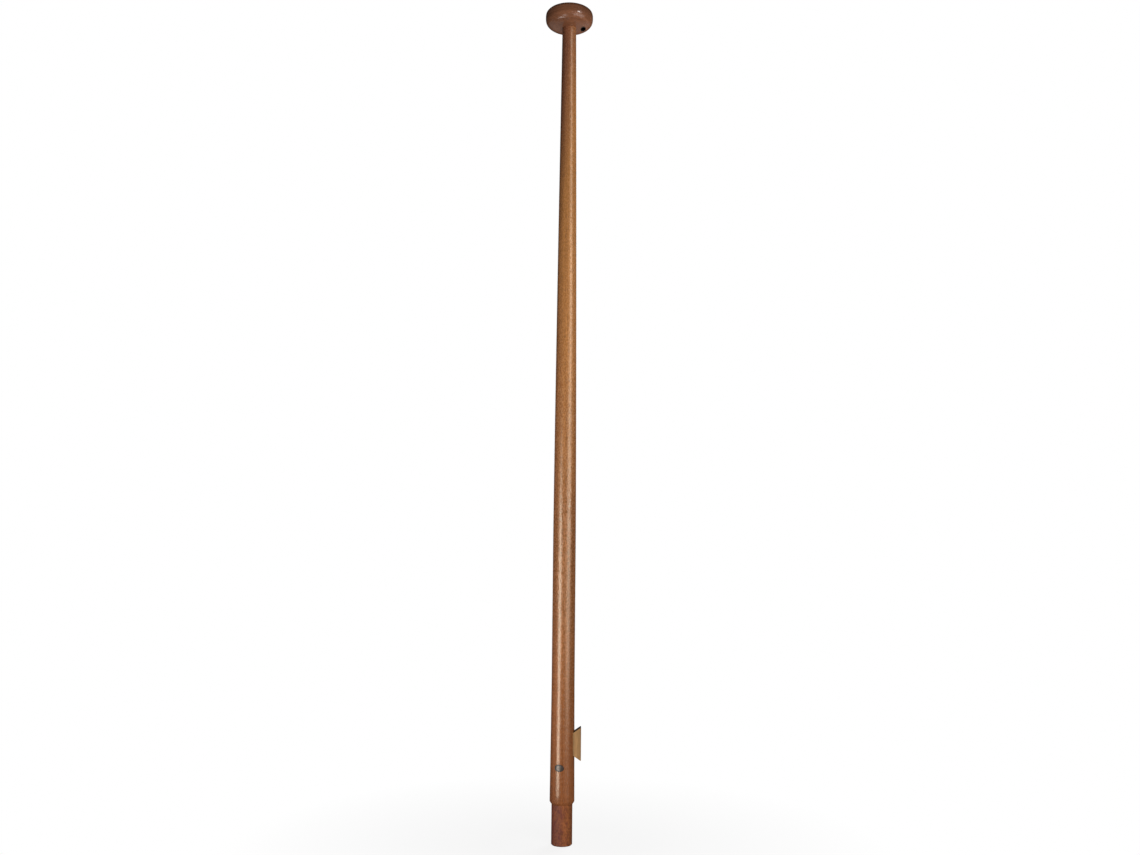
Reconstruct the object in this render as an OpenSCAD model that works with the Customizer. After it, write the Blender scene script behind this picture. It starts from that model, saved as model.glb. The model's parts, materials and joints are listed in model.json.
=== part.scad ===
// Boat flagpole: a turned hardwood ensign staff with a reduced heel, a round truck and a small halyard cleat.
// Units are millimetres. +Z runs up the staff from the heel's end, -Y is the front and the cleat is on +X.

/* [Staff] */
// Overall length, from the heel's end to the top of the truck
overall_len = 1000; // [700:10:1300]
// Diameter at the foot, just above the shoulder
foot_d = 28.4; // [27:0.1:34]
// Diameter of the parallel stretch
shaft_d = 26.6; // [22:0.1:27]
// Diameter under the truck
tip_d = 17; // [14:0.1:20]
// Height over which the foot eases into the parallel stretch
flare_len = 135; // [90:5:180]
// Height at which the taper starts
taper_start = 350; // [280:5:420]

/* [Heel] */
// Diameter of the heel, which drops into the deck socket
heel_d = 24; // [20:0.1:26]
// Length of the heel, up to the shoulder
heel_len = 45; // [35:1:60]
// Height of the bevel between the heel and the foot
shoulder_h = 3; // [1:0.5:6]
// Chamfer round the heel's end
heel_chamfer = 1; // [0.5:0.1:2]

/* [Truck] */
// Diameter of the truck
truck_d = 58.5; // [54:0.5:70]
// Height of the truck above its widest circle
crown_h = 10.5; // [6:0.5:14]
// Depth of the truck below its widest circle
belly_h = 13.2; // [10:0.1:16]
// Diameter of the spigot that the truck is glued on
spigot_d = 12; // [8:0.5:13]
// Length of the spigot
spigot_len = 13; // [8:0.5:14]
// Chamfer round the spigot's end
spigot_chamfer = 0.8; // [0.4:0.1:1.5]
// Diameter of the halyard hole
halyard_hole_d = 6.5; // [4:0.5:8]
// Distance of the halyard hole's lower mouth from the staff's axis
halyard_offset = 17.5; // [16:0.5:20]
// Turn of the halyard hole's lower mouth from +X towards +Y, in degrees
halyard_turn = 10; // [0:5:90]
// Lean of the halyard hole away from upright, along the rim, in degrees
halyard_lean = 45; // [0:5:50]

/* [Cleat] */
// Length of the cleat, from tip to tip
cleat_len = 37; // [34:1:50]
// Width of the cleat
cleat_w = 14; // [12:0.5:18]
// How far the cleat stands off the staff
cleat_stand = 7.5; // [6:0.5:12]
// Slope of the cleat's ends away from square, in degrees
horn_angle = 34; // [0:1:36]
// Eased edges round the cleat's outer face
cleat_ease = 0.5; // [0.2:0.1:1]
// Height of the cleat's middle above the shoulder
cleat_rise = 64.5; // [60:0.5:150]
// Distance between the two screws
screw_spacing = 11; // [8:0.5:13]

/* [Screws] */
// Diameter of a screw's shank
screw_d = 3; // [2.5:0.1:3.5]
// Length of a screw, over its head
screw_len = 18; // [14:1:20]
// Length of a screw's point
screw_point = 4; // [2:0.5:6]
// Diameter of a screw's head
screw_head_d = 6; // [5:0.1:7]
// Depth of a screw's head below the cleat's outer face
head_sink = 0.2; // [0.1:0.1:0.6]
// Width of the slot in a screw's head
slot_w = 0.9; // [0.6:0.1:1.2]
// Depth of the slot in a screw's head
slot_depth = 0.9; // [0.5:0.1:1.2]
// Turn of the upper screw's slot, in degrees
upper_slot_turn = 25; // [0:5:180]
// Turn of the lower screw's slot, in degrees
lower_slot_turn = 140; // [0:5:180]

/* [Label] */
// Width of the plain oval label, round the staff
label_w = 11; // [8:0.5:14]
// Height of the label
label_h = 8; // [5:0.5:10]
// Thickness of the label
label_t = 0.25; // [0.15:0.05:0.5]
// Height of the label's middle above the shoulder
label_rise = 39; // [24:1:40]
// Turn of the label from the front towards -X, in degrees
label_turn = 15; // [0:5:60]

/* [Fits] */
// Gap all round the spigot in its socket
spigot_gap = 0.1; // [0.05:0.05:0.3]
// Gap past the spigot's end, for glue
spigot_end_gap = 1; // [0.5:0.5:2]
// Gap all round a screw in its hole
screw_gap = 0.05; // [0.05:0.05:0.2]
// Gap past a screw's point
screw_end_gap = 1; // [0.5:0.5:2]

/* [Hidden] */
$fn = 96;

// Bends of the eased stretches and of the truck's outline, and the steps that draw them
flare_power = 1.2;
taper_power = 1.3;
crown_power = 3.4;
belly_power = 3;
flare_steps = 8;
taper_steps = 18;
truck_steps = 20;
label_steps = 36;

// How far a cutting shape runs past the face that it cuts
over = 1;

// Heights of the staff's stations
foot_z = heel_len + shoulder_h;
flare_end = foot_z + flare_len;
cleat_z = foot_z + cleat_rise;
label_z = foot_z + label_rise;
truck_seat_z = overall_len - crown_h - belly_h;
truck_widest_z = truck_seat_z + belly_h;
spigot_top_z = truck_seat_z + spigot_len;

// Outer face of the cleat, as a distance from the staff's axis
cleat_face = staff_r(cleat_z) + cleat_stand;

// Height of a screw's head, whose cone has sides at 45 degrees
screw_head_h = (screw_head_d - screw_d) / 2;

// Radius of the staff at height z, above the shoulder
function flare_r(z) =
    let (left = max(0, (flare_end - z) / flare_len))
    shaft_d / 2 + (foot_d - shaft_d) / 2 * pow(left, flare_power);
function taper_r(z) =
    let (gone = (z - taper_start) / (truck_seat_z - taper_start))
    tip_d / 2 + (shaft_d - tip_d) / 2 * (1 - pow(gone, taper_power));
function staff_r(z) = z < taper_start ? flare_r(z) : taper_r(z);

// Half of the staff's outline from the heel's top to the truck's seat, grown outwards by grow
function shaft_outline(grow = 0) = concat(
    [[0, heel_len]],
    [[heel_d / 2 + grow, heel_len]],
    [for (i = [0 : flare_steps]) let (z = foot_z + flare_len * i / flare_steps) [flare_r(z) + grow, z]],
    [for (i = [0 : taper_steps])
        let (z = taper_start + (truck_seat_z - taper_start) * i / taper_steps)
        [taper_r(z) + grow, z]]
);

// Half of the heel's outline
function heel_outline() = [
    [0, 0],
    [heel_d / 2 - heel_chamfer, 0],
    [heel_d / 2, heel_chamfer],
    [heel_d / 2, heel_len],
    [0, heel_len]
];

// Half of the spigot's outline, on top of the seat
function spigot_outline() = [
    [spigot_d / 2, truck_seat_z],
    [spigot_d / 2, spigot_top_z - spigot_chamfer],
    [spigot_d / 2 - spigot_chamfer, spigot_top_z],
    [0, spigot_top_z]
];

// A point on the truck's outline at step i, from the rim at 0 to the axis at truck_steps
function truck_point(i, rise, power) =
    let (a = 90 * i / truck_steps)
    [truck_d / 2 * pow(cos(a), 2 / power), rise * pow(sin(a), 2 / power)];

function truck_outline() = concat(
    [for (i = [truck_steps : -1 : 1]) truck_point(i, -belly_h, belly_power)],
    [for (i = [0 : truck_steps]) truck_point(i, crown_h, crown_power)]
);

// Height of the truck's surface at distance r from the axis, measured from its widest circle
function truck_surface(r, rise, power) = rise * pow(1 - pow(2 * r / truck_d, power), 1 / power);

// Half of a screw's outline, with its head's face at zero and its point down
function screw_outline() = [
    [0, -screw_len],
    [screw_d / 2, screw_point - screw_len],
    [screw_d / 2, -screw_head_h],
    [screw_head_d / 2, 0],
    [0, 0]
];

// Half of the outline of a screw's hole and countersink
function screw_hole_outline() = [
    [0, -screw_len - screw_end_gap],
    [screw_d / 2 + screw_gap, -screw_len - screw_end_gap],
    [screw_d / 2 + screw_gap, -screw_head_h],
    [screw_head_d / 2 + screw_gap, 0],
    [screw_head_d / 2 + screw_gap, head_sink + over],
    [0, head_sink + over]
];

// The cleat from the side: distance from the axis, then height from its middle
function cleat_side() =
    let (lean = tan(horn_angle))
    let (root = staff_r(cleat_z) / 2)
    let (tip = cleat_len / 2)
    let (root_end = tip - (cleat_face - cleat_ease - root) * lean)
    [
        [root, -root_end],
        [cleat_face - cleat_ease, -tip],
        [cleat_face, cleat_ease - tip],
        [cleat_face, tip - cleat_ease],
        [cleat_face - cleat_ease, tip],
        [root, root_end]
    ];

// The cleat from above: distance from the axis, then width
function cleat_plan() = [
    [0, -cleat_w / 2],
    [cleat_face - cleat_ease, -cleat_w / 2],
    [cleat_face, cleat_ease - cleat_w / 2],
    [cleat_face, cleat_w / 2 - cleat_ease],
    [cleat_face - cleat_ease, cleat_w / 2],
    [0, cleat_w / 2]
];

// The turned staff with its spigot, before the screw holes
module turned_staff() {
    rotate_extrude() polygon(concat(shaft_outline(), spigot_outline()));
}

// Puts its children at a screw's head, with +Z out of the cleat; side is 1 for the upper screw and -1 for the lower
module at_screw(side) {
    translate([cleat_face - head_sink, 0, cleat_z + side * screw_spacing / 2])
        rotate([0, 90, 0])
            children();
}

module screw_holes() {
    for (side = [-1, 1])
        at_screw(side) rotate_extrude() polygon(screw_hole_outline());
}

// Countersunk screw with a straight slot
module screw(slot_turn) {
    color("#c9a24d")
        difference() {
            rotate_extrude() polygon(screw_outline());
            rotate([0, 0, slot_turn])
                translate([-screw_head_d, -slot_w / 2, -slot_depth])
                    cube([2 * screw_head_d, slot_w, slot_depth + over]);
        }
}

// Hole for the halyard, drilled up from the truck's underside and leaning along the rim, out through the crown
module halyard_hole() {
    mouth_z = truck_widest_z + truck_surface(halyard_offset, -belly_h, belly_power);
    start = -halyard_hole_d / 2 * tan(halyard_lean) - over;
    rotate([0, 0, halyard_turn])
        translate([halyard_offset, 0, mouth_z])
            rotate([-halyard_lean, 0, 0])
                translate([0, 0, start])
                    cylinder(h = truck_d - start, d = halyard_hole_d);
}

// Blind socket in the truck's underside
module spigot_socket() {
    translate([0, 0, truck_seat_z - over])
        cylinder(h = over + spigot_len + spigot_end_gap, d = spigot_d + 2 * spigot_gap);
}

module staff() {
    color("#97623c")
        difference() {
            turned_staff();
            screw_holes();
        }
}

// The reduced end of the staff, cut from the same length of wood and drawn as a solid of its own
module heel() {
    color("#7c4d3c")
        rotate_extrude() polygon(heel_outline());
}

module truck() {
    color("#754c33")
        difference() {
            translate([0, 0, truck_widest_z]) rotate_extrude() polygon(truck_outline());
            spigot_socket();
            halyard_hole();
        }
}

// A block with sloping ends, hollowed at the back to sit on the staff
module cleat() {
    color("#aa7d50")
        difference() {
            intersection() {
                translate([0, 0, cleat_z])
                    rotate([90, 0, 0])
                        linear_extrude(height = cleat_w + 2 * over, center = true)
                            polygon(cleat_side());
                translate([0, 0, cleat_z - cleat_len])
                    linear_extrude(height = 2 * cleat_len)
                        polygon(cleat_plan());
            }
            turned_staff();
            screw_holes();
        }
}

module cleat_screw_upper() {
    at_screw(1) screw(upper_slot_turn);
}

module cleat_screw_lower() {
    at_screw(-1) screw(lower_slot_turn);
}

// A thin oval that follows the staff's surface
module blank_label() {
    oval = [for (i = [0 : label_steps - 1])
        let (a = 360 * i / label_steps)
        [label_w / 2 * cos(a), label_h / 2 * sin(a)]];
    color("#9b8f88")
        difference() {
            intersection() {
                rotate_extrude() polygon(concat(shaft_outline(label_t), [[0, truck_seat_z]]));
                rotate([0, 0, -label_turn])
                    translate([0, 0, label_z])
                        rotate([90, 0, 0])
                            linear_extrude(height = foot_d)
                                polygon(oval);
            }
            turned_staff();
        }
}

staff();
heel();
truck();
cleat();
cleat_screw_upper();
cleat_screw_lower();
blank_label();
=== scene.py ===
"""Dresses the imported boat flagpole: a turned mahogany staff, its truck, cleat, screws and plain label.

Lengths are in metres, and a name that ends in _mm is in millimetres.
+Z runs up the staff, -Y is the front that the camera sees and +X is the side with the cleat.
"""

import json
import math

import bmesh
import bpy
from bpy.props import FloatProperty, FloatVectorProperty, IntProperty, PointerProperty
from mathutils import Matrix, Vector


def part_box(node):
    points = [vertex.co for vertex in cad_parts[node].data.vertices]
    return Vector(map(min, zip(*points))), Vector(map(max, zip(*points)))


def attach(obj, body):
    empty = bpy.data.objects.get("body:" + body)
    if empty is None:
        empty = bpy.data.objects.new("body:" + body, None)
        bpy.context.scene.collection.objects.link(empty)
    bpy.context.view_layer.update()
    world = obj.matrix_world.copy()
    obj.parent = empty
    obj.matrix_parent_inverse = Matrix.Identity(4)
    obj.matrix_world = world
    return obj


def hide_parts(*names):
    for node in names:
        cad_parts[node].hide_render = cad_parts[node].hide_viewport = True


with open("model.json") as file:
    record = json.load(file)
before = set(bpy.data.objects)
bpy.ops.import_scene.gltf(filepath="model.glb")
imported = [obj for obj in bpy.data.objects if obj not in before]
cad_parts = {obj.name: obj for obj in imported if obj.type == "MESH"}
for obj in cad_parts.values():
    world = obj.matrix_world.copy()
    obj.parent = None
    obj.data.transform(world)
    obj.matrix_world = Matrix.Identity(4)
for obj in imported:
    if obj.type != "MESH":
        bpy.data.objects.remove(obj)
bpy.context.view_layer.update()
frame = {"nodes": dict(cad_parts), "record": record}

bl_info = {
    "name": "Boat Flagpole",
    "version": (1, 0, 0),
    "blender": (4, 5, 0),
    "location": "View3D > Sidebar > Flagpole",
    "description": "Dresses a turned mahogany flagpole in varnish and sets it on a pale studio floor",
    "category": "Object",
}

IMAGE_WIDTH = 1140
SENSOR_MM = 36
STAFF_LOW, STAFF_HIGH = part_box("staff")
HEEL_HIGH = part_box("heel")[1]
TRUCK_LOW, TRUCK_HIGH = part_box("truck")
LABEL_LOW, LABEL_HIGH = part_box("blank_label")
HALYARD_HOLE = next(m for m in frame["record"]["mounts"] if m["name"] == "halyard_hole")
SCREWS = ("cleat_screw_upper", "cleat_screw_lower")
# How the foot's flare and the taper are curved, where 1 is straight
FLARE_POWER = 1.2
TAPER_POWER = 1.3
# The growth layers stand turned about the staff's axis, in radians
GRAIN_TURN = 0.6
# A reach so long that a distance takes no note of that direction
FAR = 1e6
# A hair below the heel's end, so that the two faces don't flicker
FLOOR_Z = -0.0002
# The drum of drapes round the stage
DRUM_R = 2.2
DRUM_LOW = -0.8
DRUM_HIGH = 3.4
# From the middle of the truck to the lamps that face it
NEAR_DISTANCE = 0.3
# Strips that only show in gloss, in lengths because the highlights drift and change width along the staff:
# name, pieces, azimuth, distance, low end, high end, width, radiance
SHINES = (
    ("shine_right_tip", ("turned_staff",), 38, 1.45, 1.58, 1.9, 0.5, 5.5),
    ("shine_right_top", ("turned_staff",), 46, 1.45, 1.2, 1.58, 0.55, 4.4),
    ("shine_right_high", ("turned_staff",), 50, 1.45, 1.0, 1.2, 0.5, 7),
    ("shine_right_broad", ("turned_staff",), 56, 1.45, 0.83, 1.0, 0.75, 7.5),
    ("shine_right_core", ("turned_staff",), 44, 1.45, 0.6, 0.83, 0.45, 7),
    ("shine_right_middle", ("turned_staff",), 46, 1.45, 0.36, 0.6, 0.8, 10),
    ("shine_right_low", ("turned_staff",), 46, 1.45, -0.3, 0.36, 0.9, 4.5),
    ("shine_left_foot", ("turned_staff",), -41, 0.3, -0.1, 0.17, 0.14, 4.4),
    ("shine_left_low", ("turned_staff",), -41, 0.3, 0.17, 0.4, 0.14, 6.5),
    ("shine_left_high", ("turned_staff",), -40, 0.3, 0.4, 0.5, 0.105, 4.5),
    ("shine_truck", ("truck",), 46, 1.45, 0.8, 1.25, 0.32, 16),
    ("shine_brass", SCREWS, 90, 1.45, -0.4, 0.8, 1.6, 4),
)
# Lamps near the truck that only show in its gloss, two as streaks and one as a faint glow:
# name, direction from the truck, width, height, radiance
TRUCK_SHINES = (
    ("streak_right", (0.62, -0.41, -0.67), 0.24, 0.2, 2.3),
    ("streak_left", (-0.345, 0.1, -0.93), 0.07, 0.07, 4.5),
    ("glow_below", (0, 0.8, -0.6), 0.5, 0.2, 0.3),
)


def linear(colour):
    """Linear RGBA of an sRGB colour written as # and six hex digits."""
    channels = [int(colour[i:i + 2], 16) / 255 for i in (1, 3, 5)]
    return [c / 12.92 if c <= 0.04045 else ((c + 0.055) / 1.055) ** 2.4 for c in channels] + [1.0]


def length(name, description, default):
    """A length that a user can change."""
    return FloatProperty(
        name=name, description=description, default=default, min=0, precision=4, unit="LENGTH"
    )


def angle(name, description, default):
    """An angle that a user can change, written here in degrees."""
    return FloatProperty(
        name=name, description=description, default=math.radians(default), subtype="ANGLE"
    )


def brightness(name, description, default):
    """The radiance or strength of a light that a user can change."""
    return FloatProperty(name=name, description=description, default=default, min=0)


def colour(name, description, default):
    """A colour that a user can change, written here as sRGB hex."""
    return FloatVectorProperty(
        name=name, description=description, default=linear(default), size=4, min=0, max=1, subtype="COLOR"
    )


# Sizes and colours that a user would change

class StaffSettings(bpy.types.PropertyGroup):
    """The turned staff above its heel."""

    foot_d: length("Foot diameter", "Diameter just above the shoulder", 2 * STAFF_HIGH.x)
    shaft_d: length("Shaft diameter", "Diameter of the parallel stretch", 0.0266)
    tip_d: length("Tip diameter", "Diameter under the truck", 0.017)
    heel_d: length("Heel diameter", "Diameter at the bottom of the shoulder", 2 * HEEL_HIGH.x)
    shoulder_h: length("Shoulder height", "Height of the bevel above the heel", 0.003)
    flare_len: length("Flare length", "Height over which the foot eases into the shaft", 0.135)
    taper_start: length("Taper start", "Height at which the taper starts", 0.35)
    spigot_d: length("Spigot diameter", "Diameter of the spigot inside the truck", 0.012)
    spigot_chamfer: length("Spigot chamfer", "Chamfer round the spigot's end", 0.0008)
    screw_hole_d: length("Screw hole diameter", "Diameter of the holes for the cleat's screws", 0.0031)
    ring_gap: length("Ring gap", "Height between the mesh's rings", 0.009)
    sides: IntProperty(name="Sides", description="Sides of the turned mesh", default=128, min=32, max=256)
    foot_red: colour("Red wood", "Reddest wood, at the foot", "#864e2b")
    golden: colour("Golden wood", "Lighter, yellower wood in the upper half", "#b17844")
    red_brown: colour("Red-brown wood", "Redder wood in the lower half", "#80512e")
    # Painted shade: the dark colour laid over the wood just below the truck
    painted_shade_brown: colour("Dark wood", "Darker heartwood just below the truck", "#8b573d")
    pore: colour("Pores", "Dark dust and stain in the open pores", "#54301f")


class HeelSettings(bpy.types.PropertyGroup):
    """The reduced end of the staff."""

    # Painted light and shade: the brown is the lit side towards the cleat, the purple-brown the shaded far
    # side
    brown: colour("Brown wood", "Bare wood on the cleat's side", "#754424")
    shaded_purple: colour("Purple-brown wood", "Bare wood on the far side from the cleat", "#552b21")
    pore: colour("Pores", "Dirt in the open pores", "#3c2119")


class TruckSettings(bpy.types.PropertyGroup):
    """The round cap on the staff's top."""

    brown: colour("Brown layers", "Lighter layers of the cross-grained cap", "#8b5a40")
    red: colour("Red layers", "Redder layers of the cross-grained cap", "#7a4d34")
    pore: colour("Pores", "Dark pores along the layers", "#40241a")
    # Painted shade: the black laid in the halyard hole and round its lower mouth
    stain: colour("Stain", "Black stain that a wet halyard leaves in its hole", "#1a1310")
    hole_d: length("Hole diameter", "Diameter of the halyard hole", 2 * HALYARD_HOLE["dims"]["r_mm"] / 1000)
    hole_out: length("Hole distance", "From the staff's axis to the hole's lower mouth", 0.0175)
    hole_turn: angle("Hole turn", "From the cleat's side towards the back", 10)


class CleatSettings(bpy.types.PropertyGroup):
    """The small block that the halyard is made fast on."""

    side: colour("Side grain", "Pale wood along the grain", "#8d6a43")
    streak: colour("Streaks", "Darker streaks along the grain", "#5f4527")
    # Partly end grain, partly painted shade: the dark grey of the sawn ends
    end_grain_and_shade: colour("End grain", "Sawn ends, grey with handling", "#3a332b")


class ScrewSettings(bpy.types.PropertyGroup):
    """The two screws through the cleat."""

    brass: colour("Brass", "Bare turned brass", "#d2ab5c")
    tarnish: colour("Tarnish", "Brass that has dulled in patches", "#8a6a3a")


class LabelSettings(bpy.types.PropertyGroup):
    """The plain oval label."""

    foil: colour("Foil", "Brushed foil, dulled to a dark grey", "#665e57")
    border: colour("Border", "Dark lacquered border", "#2a2320")
    border_w: length("Border width", "Width of the dark border", 0.0011)


class StageSettings(bpy.types.PropertyGroup):
    """Floor, drapes, lamps and camera."""

    floor_r: length("Floor radius", "Radius of the pale round floor", 0.42)
    camera_distance: length("Camera distance", "Distance from the staff's axis to the camera", 1.2716)
    camera_height: length("Camera height", "Height of the camera above the floor", 0.3362)
    camera_side: length("Camera side step", "How far the camera stands to the right of the staff", 0.0053)
    camera_pitch: angle("Camera pitch", "How far the camera looks up", 6.381)
    camera_roll: angle("Camera roll", "How far the camera leans", 0.52)
    focal_px: FloatProperty(
        name="Focal length", description="Focal length in pixels of the whole image", default=1075.6, min=1
    )
    soft_radiance: brightness("Soft lamp", "Radiance of the broad lamp in front", 9.5)
    side_radiance: brightness("Side strip", "Radiance of the left strip", 6)
    back_radiance: brightness("Back strip", "Radiance of the rear strip", 5)
    crown_radiance: brightness("Crown lamp", "Radiance of the lamp above and behind the truck", 4)
    shine: brightness("Shine", "Strength of the lamps that only show in gloss", 1)
    drape_glow: brightness("Drapes", "Radiance of the dark drapes in gloss", 0.03)
    ambient: brightness("Ambient", "Plain light from all round", 0.15)


# Meshes

def staff_radius(shape, z):
    """Radius of the staff at height z, between the shoulder and the truck's seat."""
    if z < shape.taper_start:
        foot_z = STAFF_LOW.z + shape.shoulder_h
        flare_left = max(0, (foot_z + shape.flare_len - z) / shape.flare_len)
        return shape.shaft_d / 2 + (shape.foot_d - shape.shaft_d) / 2 * flare_left ** FLARE_POWER
    tapered = (z - shape.taper_start) / (TRUCK_LOW.z - shape.taper_start)
    return shape.tip_d / 2 + (shape.shaft_d - shape.tip_d) / 2 * (1 - tapered ** TAPER_POWER)


def staff_outline(shape):
    """Half of the staff's outline as (radius, height), from the middle of its foot to the spigot's top."""
    foot_z = STAFF_LOW.z + shape.shoulder_h
    seat_z = TRUCK_LOW.z
    top_z = STAFF_HIGH.z
    spigot_r = shape.spigot_d / 2
    points = [(0, STAFF_LOW.z), (shape.heel_d / 2, STAFF_LOW.z)]
    # The shoulder's corner is eased over half a millimetre to each side
    ease = 0.0005
    lean = (shape.foot_d - shape.heel_d) / 2 / shape.shoulder_h
    points.append((shape.foot_d / 2 - ease * lean, foot_z - ease))
    points.append((shape.foot_d / 2 - ease / 4, foot_z))
    points.append((staff_radius(shape, foot_z + ease), foot_z + ease))
    rings = round((seat_z - foot_z) / shape.ring_gap)
    for i in range(1, rings + 1):
        z = foot_z + (seat_z - foot_z) * i / rings
        points.append((staff_radius(shape, z), z))
    points.append((spigot_r, seat_z))
    points.append((spigot_r, top_z - shape.spigot_chamfer))
    points.append((spigot_r - shape.spigot_chamfer, top_z))
    points.append((0, top_z))
    return points


def mesh_object(name, mesh):
    """Turns a bmesh into an object of the scene."""
    data = bpy.data.meshes.new(name)
    mesh.to_mesh(data)
    mesh.free()
    piece = bpy.data.objects.new(name, data)
    bpy.context.scene.collection.objects.link(piece)
    return piece


def lathe(name, outline, sides):
    """A closed piece turned from an outline of (radius, height) that starts and ends on the axis."""
    mesh = bmesh.new()
    bottom = mesh.verts.new((0, 0, outline[0][1]))
    top = mesh.verts.new((0, 0, outline[-1][1]))
    turns = [2 * math.pi * i / sides for i in range(sides)]
    rings = []
    for radius, height in outline[1:-1]:
        rings.append([mesh.verts.new((radius * math.cos(a), radius * math.sin(a), height)) for a in turns])
    for i in range(sides):
        j = (i + 1) % sides
        mesh.faces.new((bottom, rings[0][j], rings[0][i]))
        mesh.faces.new((top, rings[-1][i], rings[-1][j]))
        for low, high in zip(rings, rings[1:]):
            mesh.faces.new((low[i], low[j], high[j], high[i]))
    return mesh_object(name, mesh)


def smooth(piece, degrees):
    """Shades a piece smooth, apart from edges sharper than so many degrees."""
    piece.data.shade_smooth()
    piece.data.set_sharp_from_angle(angle=math.radians(degrees))


def drill(piece, screw, diameter):
    """Cuts a screw's blind hole into a piece, along X from just past the screw's point to the open air."""
    low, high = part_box(screw)
    middle = (low + high) / 2
    past_point = 0.001
    run = 0.0152
    sides = 32
    bit = lathe("bit", [(0, 0), (diameter / 2, 0), (diameter / 2, run), (0, run)], sides)
    bit_end = Matrix.Translation((low.x - past_point, middle.y, middle.z))
    bit.matrix_world = bit_end @ Matrix.Rotation(math.pi / 2, 4, "Y")
    cut = piece.modifiers.new("screw hole", "BOOLEAN")
    cut.operation = "DIFFERENCE"
    cut.solver = "EXACT"
    cut.object = bit
    bpy.context.view_layer.update()
    result = bpy.data.meshes.new_from_object(piece.evaluated_get(bpy.context.evaluated_depsgraph_get()))
    piece.modifiers.remove(cut)
    piece.data = result
    bpy.data.objects.remove(bit)


# Nodes

def add(tree, kind, inputs=None, **settings):
    """Adds a node with its settings; each input takes a value or the socket that it is linked to."""
    node = tree.nodes.new(kind)
    for name, setting in settings.items():
        setattr(node, name, setting)
    for name, source in (inputs or {}).items():
        if isinstance(source, bpy.types.NodeSocket):
            tree.links.new(source, node.inputs[name])
        else:
            node.inputs[name].default_value = source
    return node


def new_material(name):
    """An empty material, its node tree and the surface input of its output."""
    material = bpy.data.materials.new(name)
    material.use_nodes = True
    tree = material.node_tree
    tree.nodes.clear()
    output = add(tree, "ShaderNodeOutputMaterial")
    return material, tree, output.inputs["Surface"]


def total(tree, start, *parts):
    """A number or socket plus other sockets times their weights, each part being (socket, weight)."""
    result = start
    for socket, weight in parts:
        node = add(tree, "ShaderNodeMath", {0: socket, 1: weight, 2: result}, operation="MULTIPLY_ADD")
        result = node.outputs["Value"]
    return result


def along(tree, start, coordinate, *changes):
    """A number or socket that changes along a coordinate, each change being (from, to, amount)."""
    parts = []
    for low, high, amount in changes:
        change = add(tree, "ShaderNodeMapRange", {"Value": coordinate, "From Min": low, "From Max": high})
        parts.append((change.outputs["Result"], amount))
    return total(tree, start, *parts)


def pattern(tree, place, size_mm, low=0.3, high=0.7, turn=0.0, offset=0.0):
    """Noise with features of size_mm along X, Y and Z, as a socket that is 0 below low and 1 above high.

    An offset in metres moves the pattern, so that it doesn't line up with the others.
    """
    stretched = add(
        tree, "ShaderNodeMapping",
        {
            "Vector": place,
            "Location": (offset, offset, offset),
            "Rotation": (0, 0, turn),
            "Scale": [side / 1000 for side in size_mm],
        },
        vector_type="TEXTURE",
    )
    noise = add(tree, "ShaderNodeTexNoise", {"Vector": stretched.outputs["Vector"], "Scale": 1, "Detail": 1})
    return along(tree, 0, noise.outputs["Fac"], (low, high, 1))


def from_centre(tree, place, centre, reach, turn=(0, 0, 0)):
    """Distance from a centre as a socket, which is 1 at the reach along X, Y and Z."""
    moved = add(
        tree, "ShaderNodeMapping",
        {"Vector": place, "Location": centre, "Rotation": turn, "Scale": reach},
        vector_type="TEXTURE",
    )
    away = add(tree, "ShaderNodeVectorMath", {0: moved.outputs["Vector"]}, operation="LENGTH")
    return away.outputs["Value"]


def layered(tree, base, *coats):
    """A colour under others, each coat being (how much of it there is, its colour)."""
    result = base
    for share, tint in coats:
        # Inputs 6 and 7 and output 2 are the ones for colours
        node = add(tree, "ShaderNodeMix", {"Factor": share, 6: result, 7: tint}, data_type="RGBA")
        result = node.outputs[2]
    return result


def grained(tree, wood, tone, pores, share, stain):
    """Wood made lighter or darker by a tone socket, with a stain that covers that share of its pores."""
    toned = add(tree, "ShaderNodeVectorMath", {"Vector": wood, "Scale": tone}, operation="SCALE")
    return layered(tree, toned.outputs["Vector"], (total(tree, 0, (pores, share)), stain))


def surface(tree, output, inputs, height, depth_mm):
    """The material's shader, with a bump of the given depth where the height socket is 1."""
    bump = add(tree, "ShaderNodeBump", {"Height": height, "Strength": 1, "Distance": depth_mm / 1000})
    shader = add(tree, "ShaderNodeBsdfPrincipled", {**inputs, "Normal": bump.outputs["Normal"]})
    tree.links.new(shader.outputs["BSDF"], output)


# Materials

def staff_colour(tree, look, axes, drift, ribbon):
    """Red-brown wood at the foot and golden two thirds up, with painted shade just below the truck, deepest
    on the side away from the cleat.
    """
    height = axes.outputs["Z"]
    above_foot = along(tree, 0, height, (0.06, 0.27, 1))
    gold = total(tree, along(tree, -0.15, height, (0.36, 0.7, 1)), (drift, 0.2), (ribbon, 0.1))
    # Painted shade below the truck, deepest on the side away from the cleat
    painted_top_shade = total(tree, along(tree, -0.3, height, (0.76, 0.95, 1.1)), (drift, 0.2), (axes.outputs["X"], -50))
    return layered(
        tree, look.foot_red, (above_foot, look.red_brown), (gold, look.golden), (painted_top_shade, look.painted_shade_brown)
    )


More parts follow.
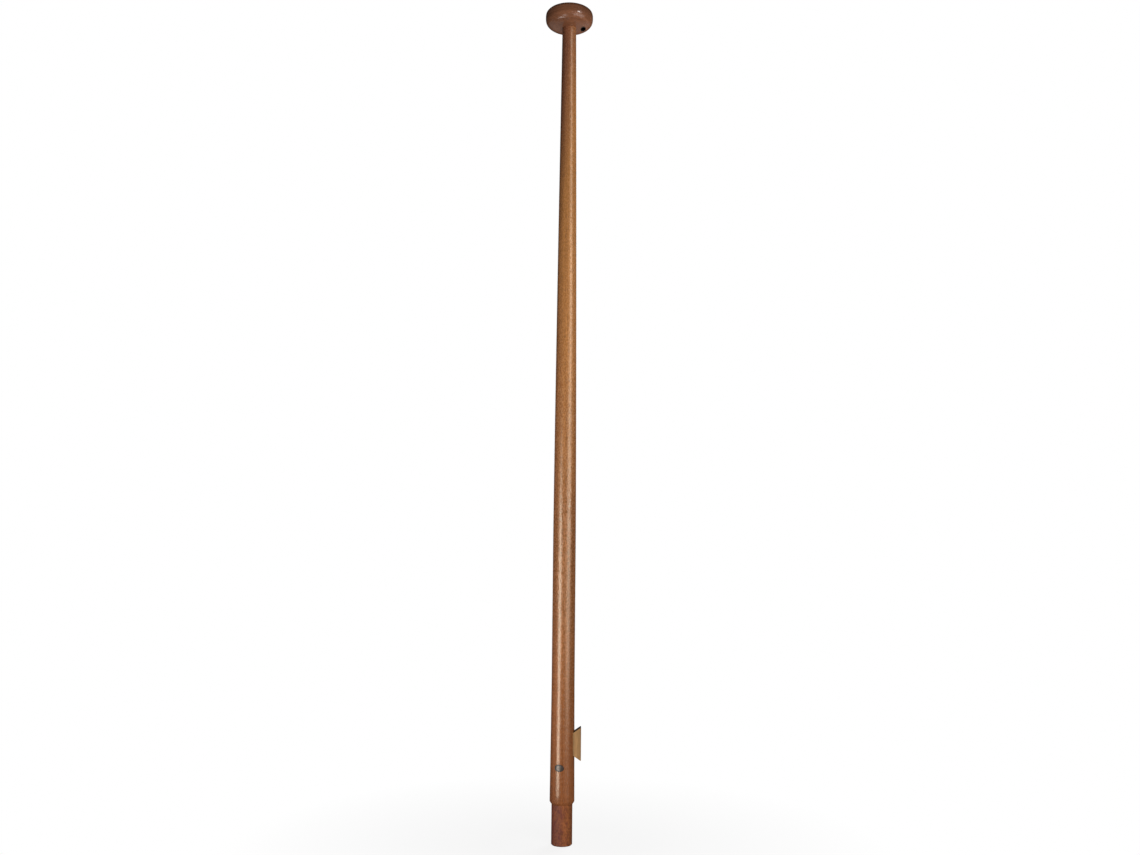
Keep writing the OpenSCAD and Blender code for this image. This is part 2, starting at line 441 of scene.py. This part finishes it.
def mahogany_turned_and_varnished(look):
    """Gloss varnish over lathe-turned mahogany: warm, with short flecks that break up the shine."""
    material, tree, output = new_material("mahogany_turned_and_varnished")
    place = add(tree, "ShaderNodeTexCoord").outputs["Object"]
    axes = add(tree, "ShaderNodeSeparateXYZ", {"Vector": place})
    height = axes.outputs["Z"]
    drift = pattern(tree, place, (70, 70, 240))
    ribbon = pattern(tree, place, (7, 5, 160), turn=GRAIN_TURN)
    # Painted light and shade across the staff: how much the wood lightens for each metre towards the cleat's
    # side; from 130 to 420 mm up it darkens
    painted_light_slope = along(tree, 4, height, (0.05, 0.13, -6), (0.42, 0.56, 9), (0.58, 0.7, -6), (0.76, 0.9, 14))
    across = add(tree, "ShaderNodeMath", {0: axes.outputs["X"], 1: painted_light_slope}, operation="MULTIPLY")
    # Growth layers, seen as fine upright lines
    layers = pattern(tree, place, (1.5, 5, 110), turn=GRAIN_TURN, offset=0.4)
    # Flecks and open pores are drawn about twice as coarse as real ones, so that they show at this distance
    flecks = pattern(tree, place, (1.3, 1.3, 2.4), offset=0.8)
    pores = pattern(tree, place, (0.8, 0.8, 4), low=0.58, high=0.72, offset=1.2)
    # The flecks fade near the foot, where the coat lies smoother, and are deepest from 300 to 520 mm up
    depth = along(tree, 0, height, (0, 0.2, 0.85), (0.2, 0.3, 1.15), (0.52, 0.63, -1))
    fleck_lift = total(tree, -0.5, (flecks, 1))
    grown = add(tree, "ShaderNodeMath", {0: fleck_lift, 1: depth}, operation="MULTIPLY").outputs["Value"]
    # Faint ripples across the grain
    ripples = pattern(tree, place, (9, 9, 2.4), offset=1.6)
    lightness = along(tree, 0.43, height, (0.05, 0.36, 0.24), (0, 0.4, 0.12))
    tone = total(
        tree, lightness, (layers, 0.22), (grown, 0.24), (ribbon, 0.12), (ripples, 0.12),
        (across.outputs["Value"], 1),
    )
    wood = staff_colour(tree, look, axes, drift, ribbon)
    # The coat gets a little duller up to 400 mm, and its gloss has a warm tint
    dullness = along(tree, 0.23, height, (0, 0.4, 0.04))
    surface(
        tree, output,
        {
            "Base Color": grained(tree, wood, tone, pores, share=0.45, stain=look.pore),
            "Roughness": total(tree, dullness, (pores, 0.2), (grown, 0.14)),
            "IOR": 1.5,
            "Specular Tint": linear("#fff9e2"),
        },
        height=total(tree, 1, (pores, -0.6), (grown, 0.9)),
        depth_mm=0.05,
    )
    return material


def mahogany_turned_bare(look):
    """Bare turned mahogany with a thin wipe of sealer: duller and darker, with dirt in the pores."""
    material, tree, output = new_material("mahogany_turned_bare")
    place = add(tree, "ShaderNodeTexCoord").outputs["Object"]
    across = add(tree, "ShaderNodeSeparateXYZ", {"Vector": place}).outputs["X"]
    drift = pattern(tree, place, (9, 9, 50))
    blotches = pattern(tree, place, (3.5, 3.5, 5), low=0.5, high=0.62, offset=1.6)
    # Painted light and shade: lighter and browner towards the cleat's side, darker and more purple on the
    # far side, broken by the wood's drift and blotches
    side = total(tree, 0.35, (across, 35), (drift, 0.4), (blotches, -0.4))
    wood = layered(tree, look.shaded_purple, (side, look.brown))
    # Layers, flecks and pores are drawn about twice as coarse as real ones, as on the staff
    layers = pattern(tree, place, (1.3, 4, 30), turn=GRAIN_TURN, offset=0.4)
    flecks = pattern(tree, place, (1.4, 1.4, 2.4), offset=0.8)
    pores = pattern(tree, place, (0.9, 0.9, 3.5), low=0.55, offset=1.2)
    # Painted shade along the far edge on the cleat's side
    painted_edge_shade = along(tree, 0.74, across, (0.007, 0.012, -0.36))
    tone = total(tree, painted_edge_shade, (layers, 0.2), (flecks, 0.5))
    surface(
        tree, output,
        {
            "Base Color": grained(tree, wood, tone, pores, share=0.55, stain=look.pore),
            "Roughness": total(tree, 0.5, (pores, 0.25), (flecks, 0.1)),
            "IOR": 1.45,
            "Specular IOR Level": 0.3,
        },
        height=total(tree, 1, (pores, -1), (flecks, 0.5)),
        depth_mm=0.06,
    )
    return material


def painted_crown_shade(tree, place):
    """A socket that is 1 over painted shade on the crown's shoulder, most of all on the cleat's side."""
    axes = add(tree, "ShaderNodeSeparateXYZ", {"Vector": place})
    from_axis = from_centre(tree, place, (0, 0, 0), (1, 1, FAR))
    high_up = along(tree, -1.3, axes.outputs["Z"], (TRUCK_HIGH.z - 0.015, TRUCK_HIGH.z - 0.006, 1))
    far_out = along(tree, high_up, from_axis, (0.019, 0.026, 1))
    shoulder = total(tree, far_out, (axes.outputs["X"], 12))
    return along(tree, 0, shoulder, (0, 1, 1))


def painted_mouth_shade(tree, place, look):
    """A socket that is 1 over a patch of painted shade round the hole's lower mouth, stretched along its
    run.
    """
    out_x = look.hole_out * math.cos(look.hole_turn)
    out_y = look.hole_out * math.sin(look.hole_turn)
    # How far it reaches across, along and up its run
    reach = (0.48 * look.hole_d, 1.1 * look.hole_d, 2 * look.hole_d)
    away = from_centre(tree, place, (out_x, out_y, TRUCK_LOW.z), reach)
    return along(tree, 0, away, (1.15, 0.85, 1))


def hole_wall(tree, place, look):
    """A socket that is 1 on the walls of the halyard hole."""
    # A little more than the hole's radius, so that its walls lie inside
    wall_r = 0.53 * look.hole_d
    run = Vector(HALYARD_HOLE["axis"]).to_track_quat("Z", "Y").to_euler()
    from_axis = from_centre(tree, place, HALYARD_HOLE["pos_m"], (wall_r, wall_r, FAR), run)
    return along(tree, 0, from_axis, (1, 0.96, 1))


def mahogany_cross_grained_and_varnished(look):
    """Varnished mahogany turned across its grain: its layers lie level, as brown and red bands."""
    material, tree, output = new_material("mahogany_cross_grained_and_varnished")
    place = add(tree, "ShaderNodeTexCoord").outputs["Object"]
    bands = pattern(tree, place, (60, 22, 3.2), low=0.32, high=0.68)
    lines = pattern(tree, place, (40, 12, 1.1), offset=0.4)
    # Flecks and pores are drawn about twice as coarse as real ones, as on the staff
    flecks = pattern(tree, place, (3, 1.4, 1.4), offset=0.8)
    pores = pattern(tree, place, (4, 0.8, 0.8), low=0.58, high=0.72, offset=1.2)
    wood = layered(tree, look.red, (bands, look.brown))
    # The crown's shoulder gets painted shade
    tone = total(tree, 0.85, (lines, 0.2), (flecks, 0.22), (painted_crown_shade(tree, place), -0.44))
    clean = grained(tree, wood, tone, pores, share=0.45, stain=look.pore)
    # Painted shade is deepest inside the hole, where it is dull and black all the way through, and also
    # covers a patch round its lower mouth
    wall = hole_wall(tree, place, look)
    painted_hole_shade = total(tree, painted_mouth_shade(tree, place, look), (wall, 1))
    surface(
        tree, output,
        {
            "Base Color": layered(tree, clean, (painted_hole_shade, look.stain)),
            "Roughness": total(tree, 0.16, (pores, 0.2), (flecks, 0.06), (wall, 0.6)),
            "IOR": 1.5,
        },
        height=total(tree, 1, (pores, -1), (flecks, 0.5)),
        depth_mm=0.03,
    )
    return material


def ash_sawn_and_oiled(look):
    """Pale oiled ash: satin sides with upright grain, and sawn ends in dark grey, partly end grain and
    partly painted shade.
    """
    material, tree, output = new_material("ash_sawn_and_oiled")
    coordinates = add(tree, "ShaderNodeTexCoord")
    place = coordinates.outputs["Object"]
    layers = pattern(tree, place, (1.8, 4, 60))
    # Fibres are drawn several times as coarse as real ones, so that they show
    fibres = pattern(tree, place, (0.6, 0.6, 8), low=0.35, offset=0.4)
    streaked = total(tree, 0, (layers, 0.55), (fibres, 0.3))
    # The ends slope at 34 degrees, so they are where the surface faces well up or down
    facing = add(tree, "ShaderNodeSeparateXYZ", {"Vector": coordinates.outputs["Normal"]})
    upright = add(tree, "ShaderNodeMath", {0: facing.outputs["Z"]}, operation="ABSOLUTE")
    # The sawn ends get a dark grey that is partly end grain, partly painted shade
    ends = along(tree, 0, upright.outputs["Value"], (0.5, 0.75, 1))
    surface(
        tree, output,
        {
            "Base Color": layered(tree, look.side, (streaked, look.streak), (ends, look.end_grain_and_shade)),
            "Roughness": total(tree, 0.42, (fibres, 0.12), (ends, 0.2)),
            "IOR": 1.45,
        },
        height=total(tree, 1, (fibres, -1), (layers, 0.5)),
        depth_mm=0.05,
    )
    return material


def brass_turned(look):
    """Bare turned brass: fine turning marks and patches that have dulled."""
    material, tree, output = new_material("brass_turned")
    place = add(tree, "ShaderNodeTexCoord").outputs["Object"]
    dulled = pattern(tree, place, (1.6, 1.6, 1.6), low=0.35, high=0.75)
    # Turning marks are drawn about twice as coarse as real ones, so that they show
    marks = pattern(tree, place, (0.25, 2, 2), offset=0.4)
    surface(
        tree, output,
        {
            "Base Color": layered(tree, look.brass, (total(tree, 0, (dulled, 0.7)), look.tarnish)),
            "Roughness": total(tree, 0.24, (dulled, 0.2), (marks, 0.06)),
            "Metallic": 1,
        },
        height=marks,
        depth_mm=0.01,
    )
    return material


def foil_lacquered(look):
    """Brushed silver foil under clear lacquer, with a dark border and nothing on it."""
    material, tree, output = new_material("foil_lacquered")
    coordinates = add(tree, "ShaderNodeTexCoord")
    # Generated coordinates run from 0 to 1 over the label, so this is 1 at its rim
    out = from_centre(tree, coordinates.outputs["Generated"], (0.5, 0.5, 0.5), (0.5, FAR, 0.5))
    # The border's inner edge is a little soft
    edge = 1 - 2 * look.border_w / (LABEL_HIGH.z - LABEL_LOW.z)
    soft = 0.04
    border = along(tree, 0, out, (edge - soft, edge + soft, 1))
    # The brushed lines are drawn several times as coarse as real ones, so that they show
    brushed = pattern(tree, coordinates.outputs["Object"], (4, 4, 0.2))
    foil = layered(tree, look.foil, (border, look.border))
    tone = total(tree, 0.9, (brushed, 0.2))
    silver = add(tree, "ShaderNodeVectorMath", {"Vector": foil, "Scale": tone}, operation="SCALE")
    surface(
        tree, output,
        {
            "Base Color": silver.outputs["Vector"],
            "Roughness": total(tree, 0.32, (brushed, 0.12)),
            "Metallic": total(tree, 0.85, (border, -0.85)),
        },
        height=brushed,
        depth_mm=0.01,
    )
    return material


def background_ray(tree):
    """A socket that is 1 for what the camera sees, and for what gloss or glass shows."""
    rays = add(tree, "ShaderNodeLightPath").outputs
    seen = rays["Is Camera Ray"]
    for kind in ("Is Glossy Ray", "Is Transmission Ray"):
        seen = add(tree, "ShaderNodeMath", {0: seen, 1: rays[kind]}, operation="MAXIMUM").outputs["Value"]
    return seen


def matt_white_floor(look):
    """Plain white floor that keeps the soft shadow and fades into the white background at its edge."""
    material, tree, output = new_material("matt_white_floor")
    place = add(tree, "ShaderNodeTexCoord").outputs["Object"]
    out = from_centre(tree, place, (0, 0, 0), (look.floor_r, look.floor_r, FAR))
    # How white the floor is by itself, so that the shadow only greys the rest
    whiteness = along(tree, 0.86, out, (0.2, 0.9, 0.14))
    shown = add(tree, "ShaderNodeMath", {0: whiteness, 1: background_ray(tree)}, operation="MULTIPLY")
    paint = add(tree, "ShaderNodeBsdfDiffuse", {"Color": linear("#f2f2f2")})
    white = add(tree, "ShaderNodeEmission", {"Color": linear("#ffffff"), "Strength": 1})
    mixed = add(
        tree, "ShaderNodeMixShader",
        {0: shown.outputs["Value"], 1: paint.outputs["BSDF"], 2: white.outputs["Emission"]},
    )
    tree.links.new(mixed.outputs["Shader"], output)
    return material


def dark_drape(look):
    """Dark cloth that is seen in gloss alone, so that the varnish has no white veil."""
    material, tree, output = new_material("dark_drape")
    grey = add(tree, "ShaderNodeEmission", {"Color": linear("#ffffff"), "Strength": look.drape_glow})
    tree.links.new(grey.outputs["Emission"], output)
    return material


def white_world(look):
    """White to the camera and to glass or gloss, and a plain dim light to everything else."""
    world = bpy.data.worlds.new("white_world")
    bpy.context.scene.world = world
    world.use_nodes = True
    tree = world.node_tree
    tree.nodes.clear()
    strength = total(tree, look.ambient, (background_ray(tree), 1 - look.ambient))
    light = add(tree, "ShaderNodeBackground", {"Color": linear("#ffffff"), "Strength": strength})
    add(tree, "ShaderNodeOutputWorld", {"Surface": light.outputs["Background"]})
    world.cycles.sampling_method = "NONE"


def finish_node(name, material):
    """Gives a CAD node its material."""
    if name not in frame["nodes"]:
        raise RuntimeError(f"the packed model has no node named {name}")
    materials = frame["nodes"][name].data.materials
    materials.clear()
    materials.append(material)


# Stage

def turned_sheet(name, outline, material):
    """A sheet of the stage, turned about Z from an outline of (radius, height)."""
    steps = 48
    mesh = bmesh.new()
    columns = []
    for i in range(steps + 1):
        a = math.radians(360 * i / steps)
        columns.append([mesh.verts.new((r * math.sin(a), -r * math.cos(a), z)) for r, z in outline])
    for left, right in zip(columns, columns[1:]):
        for i in range(len(outline) - 1):
            mesh.faces.new((left[i], right[i], right[i + 1], left[i + 1]))
    sheet = mesh_object(name, mesh)
    sheet.data.materials.append(material)
    return sheet


def lay_floor(look):
    """Lays the pale floor under the heel, as a ring whose hole is too small to be seen."""
    hole_r = 0.0001
    floor = turned_sheet("floor", [(hole_r, FLOOR_Z), (look.floor_r, FLOOR_Z)], matt_white_floor(look))
    floor.visible_glossy = False
    # Some lamps reach below the floor's level
    floor.visible_shadow = False


def hang_drapes(look):
    """Surrounds the stage with a drum of dark cloth, seen in reflections and nowhere else."""
    cloth = dark_drape(look)
    hole_r = 0.01
    ground_z = -0.01
    wall = turned_sheet("drapes", [(DRUM_R, DRUM_LOW), (DRUM_R, DRUM_HIGH)], cloth)
    ground = turned_sheet("dark_ground", [(hole_r, ground_z), (DRUM_R, ground_z)], cloth)
    canopy = turned_sheet("canopy", [(DRUM_R, DRUM_HIGH), (hole_r, DRUM_HIGH)], cloth)
    for sheet in (wall, ground, canopy):
        sheet.visible_camera = False
        sheet.visible_diffuse = False
        sheet.visible_transmission = False
        sheet.visible_shadow = False


def only_on(lamp, names):
    """Keeps a lamp's light to the named pieces."""
    receivers = bpy.data.collections.new(lamp.name)
    for name in names:
        receivers.objects.link(bpy.data.objects[name])
    lamp.light_linking.receiver_collection = receivers


def area_lamp(name, place, turn, width, height, radiance):
    """A rectangular lamp, hidden from the camera."""
    data = bpy.data.lights.new(name, "AREA")
    data.shape = "RECTANGLE"
    data.size = width
    data.size_y = height
    data.energy = radiance * math.pi * width * height
    lamp = bpy.data.objects.new(name, data)
    lamp.location = place
    lamp.rotation_euler = turn
    lamp.visible_camera = False
    bpy.context.scene.collection.objects.link(lamp)
    return lamp


def strip_lamp(name, azimuth, distance, low, high, width, radiance):
    """An upright strip that faces the staff, at an azimuth in degrees from the front to the cleat's side."""
    a = math.radians(azimuth)
    place = (distance * math.sin(a), -distance * math.cos(a), (low + high) / 2)
    return area_lamp(name, place, (math.pi / 2, 0, a), width, high - low, radiance)


def truck_lamp(name, direction, width, height, radiance):
    """A lamp for the truck alone, which faces it from a direction."""
    aim = Vector(direction).normalized()
    place = (TRUCK_LOW + TRUCK_HIGH) / 2 + NEAR_DISTANCE * aim
    lamp = area_lamp(name, place, aim.to_track_quat("Z", "Y").to_euler(), width, height, radiance)
    only_on(lamp, ("truck",))
    return lamp


def hang_strips(look):
    """The strips that light the wood, of which only the side one shows in gloss."""
    front = strip_lamp(
        "soft_front", azimuth=26, distance=1.45, low=-0.1, high=0.55, width=1.0, radiance=look.soft_radiance
    )
    back = strip_lamp(
        "back_strip", azimuth=150, distance=1.5, low=0, high=1.4, width=1.0, radiance=look.back_radiance
    )
    side = strip_lamp(
        "side_strip", azimuth=-40, distance=0.3, low=-0.1, high=0.5, width=0.105, radiance=look.side_radiance
    )
    # The near strip would leave a patch of light on the floor
    only_on(side, ("turned_staff", "heel", "truck", "cleat", "blank_label", *SCREWS))
    front.visible_glossy = False
    back.visible_glossy = False


def hang_shines(look):
    """The lamps that are only reflections in gloss, and light nothing."""
    for name, pieces, azimuth, distance, low, high, width, radiance in SHINES:
        lamp = strip_lamp(name, azimuth, distance, low, high, width, look.shine * radiance)
        lamp.visible_diffuse = False
        only_on(lamp, pieces)
    for name, direction, width, height, radiance in TRUCK_SHINES:
        lamp = truck_lamp(name, direction, width, height, look.shine * radiance)
        lamp.visible_diffuse = False


def light_crown(look):
    """A soft lamp above and behind the truck, as its crown faces away from all the strips."""
    lamp = truck_lamp(
        "crown_glow", direction=(0, 0.85, 0.53), width=0.2, height=0.2, radiance=look.crown_radiance
    )
    lamp.visible_glossy = False


def photo_camera(look):
    """The camera at the photograph's place, turned to look up a little and leaning a little."""
    data = bpy.data.cameras.new("photo_camera")
    data.sensor_width = SENSOR_MM
    data.lens = look.focal_px * SENSOR_MM / IMAGE_WIDTH
    camera = bpy.data.objects.new("photo_camera", data)
    ahead = Vector((0, math.cos(look.camera_pitch), math.sin(look.camera_pitch)))
    level_up = Vector((0, -math.sin(look.camera_pitch), math.cos(look.camera_pitch)))
    up = Matrix.Rotation(-look.camera_roll, 3, ahead) @ level_up
    right = ahead.cross(up)
    turn = Matrix((right, up, -ahead)).transposed().to_4x4()
    place = Matrix.Translation((look.camera_side, -look.camera_distance, look.camera_height))
    camera.matrix_world = place @ turn
    bpy.context.scene.collection.objects.link(camera)
    bpy.context.scene.camera = camera


# Operators

class FLAGPOLE_OT_turn_staff(bpy.types.Operator):
    """Turn the staff finely, drill it for the cleat's screws and varnish it"""

    bl_idname = "flagpole.turn_staff"
    bl_label = "Turn Staff"

    def execute(self, context):
        shape = context.scene.flagpole_staff
        staff = lathe("turned_staff", staff_outline(shape), shape.sides)
        for screw in SCREWS:
            drill(staff, screw, shape.screw_hole_d)
        smooth(staff, degrees=30)
        staff.data.materials.append(mahogany_turned_and_varnished(shape))
        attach(staff, "root")
        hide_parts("staff")
        return {"FINISHED"}


class FLAGPOLE_OT_finish_heel(bpy.types.Operator):
    """Leave the heel bare, as it sits in the deck socket"""

    bl_idname = "flagpole.finish_heel"
    bl_label = "Finish Heel"

    def execute(self, context):
        finish_node("heel", mahogany_turned_bare(context.scene.flagpole_heel))
        return {"FINISHED"}


class FLAGPOLE_OT_finish_truck(bpy.types.Operator):
    """Varnish the cross-grained truck"""

    bl_idname = "flagpole.finish_truck"
    bl_label = "Finish Truck"

    def execute(self, context):
        finish_node("truck", mahogany_cross_grained_and_varnished(context.scene.flagpole_truck))
        return {"FINISHED"}


class FLAGPOLE_OT_finish_cleat(bpy.types.Operator):
    """Oil the cleat, and grey its sawn ends"""

    bl_idname = "flagpole.finish_cleat"
    bl_label = "Finish Cleat"

    def execute(self, context):
        finish_node("cleat", ash_sawn_and_oiled(context.scene.flagpole_cleat))
        return {"FINISHED"}


class FLAGPOLE_OT_finish_screws(bpy.types.Operator):
    """Give both screws their turned brass"""

    bl_idname = "flagpole.finish_screws"
    bl_label = "Finish Screws"

    def execute(self, context):
        brass = brass_turned(context.scene.flagpole_screws)
        for screw in SCREWS:
            finish_node(screw, brass)
        return {"FINISHED"}


class FLAGPOLE_OT_finish_label(bpy.types.Operator):
    """Give the oval label its plain foil and dark border"""

    bl_idname = "flagpole.finish_label"
    bl_label = "Finish Label"

    def execute(self, context):
        finish_node("blank_label", foil_lacquered(context.scene.flagpole_label))
        return {"FINISHED"}


class FLAGPOLE_OT_set_stage(bpy.types.Operator):
    """Lay the floor, hang the drapes, and place the lamps and the camera"""

    bl_idname = "flagpole.set_stage"
    bl_label = "Set Stage"

    def execute(self, context):
        look = context.scene.flagpole_stage
        context.scene.view_settings.view_transform = "Standard"
        white_world(look)
        lay_floor(look)
        hang_drapes(look)
        hang_strips(look)
        hang_shines(look)
        light_crown(look)
        photo_camera(look)
        return {"FINISHED"}


class FLAGPOLE_PT_panel(bpy.types.Panel):
    """Sidebar panel with the pieces, the stage and their settings"""

    bl_label = "Boat Flagpole"
    bl_idname = "FLAGPOLE_PT_panel"
    bl_space_type = "VIEW_3D"
    bl_region_type = "UI"
    bl_category = "Flagpole"

    def draw(self, context):
        for operator, settings, group in STEPS:
            box = self.layout.box()
            box.operator(operator.bl_idname)
            look = getattr(context.scene, settings)
            for name in group.__annotations__:
                box.prop(look, name)


STEPS = (
    (FLAGPOLE_OT_turn_staff, "flagpole_staff", StaffSettings),
    (FLAGPOLE_OT_finish_heel, "flagpole_heel", HeelSettings),
    (FLAGPOLE_OT_finish_truck, "flagpole_truck", TruckSettings),
    (FLAGPOLE_OT_finish_cleat, "flagpole_cleat", CleatSettings),
    (FLAGPOLE_OT_finish_screws, "flagpole_screws", ScrewSettings),
    (FLAGPOLE_OT_finish_label, "flagpole_label", LabelSettings),
    (FLAGPOLE_OT_set_stage, "flagpole_stage", StageSettings),
)


def register():
    """Registers the settings, the operators and the panel."""
    for operator, settings, group in STEPS:
        bpy.utils.register_class(group)
        setattr(bpy.types.Scene, settings, PointerProperty(type=group))
        bpy.utils.register_class(operator)
    bpy.utils.register_class(FLAGPOLE_PT_panel)


def unregister():
    """Takes them all away again."""
    bpy.utils.unregister_class(FLAGPOLE_PT_panel)
    for operator, settings, group in reversed(STEPS):
        bpy.utils.unregister_class(operator)
        delattr(bpy.types.Scene, settings)
        bpy.utils.unregister_class(group)


def main():
    """Makes every piece and the stage."""
    register()
    bpy.ops.flagpole.turn_staff()
    bpy.ops.flagpole.finish_heel()
    bpy.ops.flagpole.finish_truck()
    bpy.ops.flagpole.finish_cleat()
    bpy.ops.flagpole.finish_screws()
    bpy.ops.flagpole.finish_label()
    bpy.ops.flagpole.set_stage()


if __name__ == "__main__":
    main()
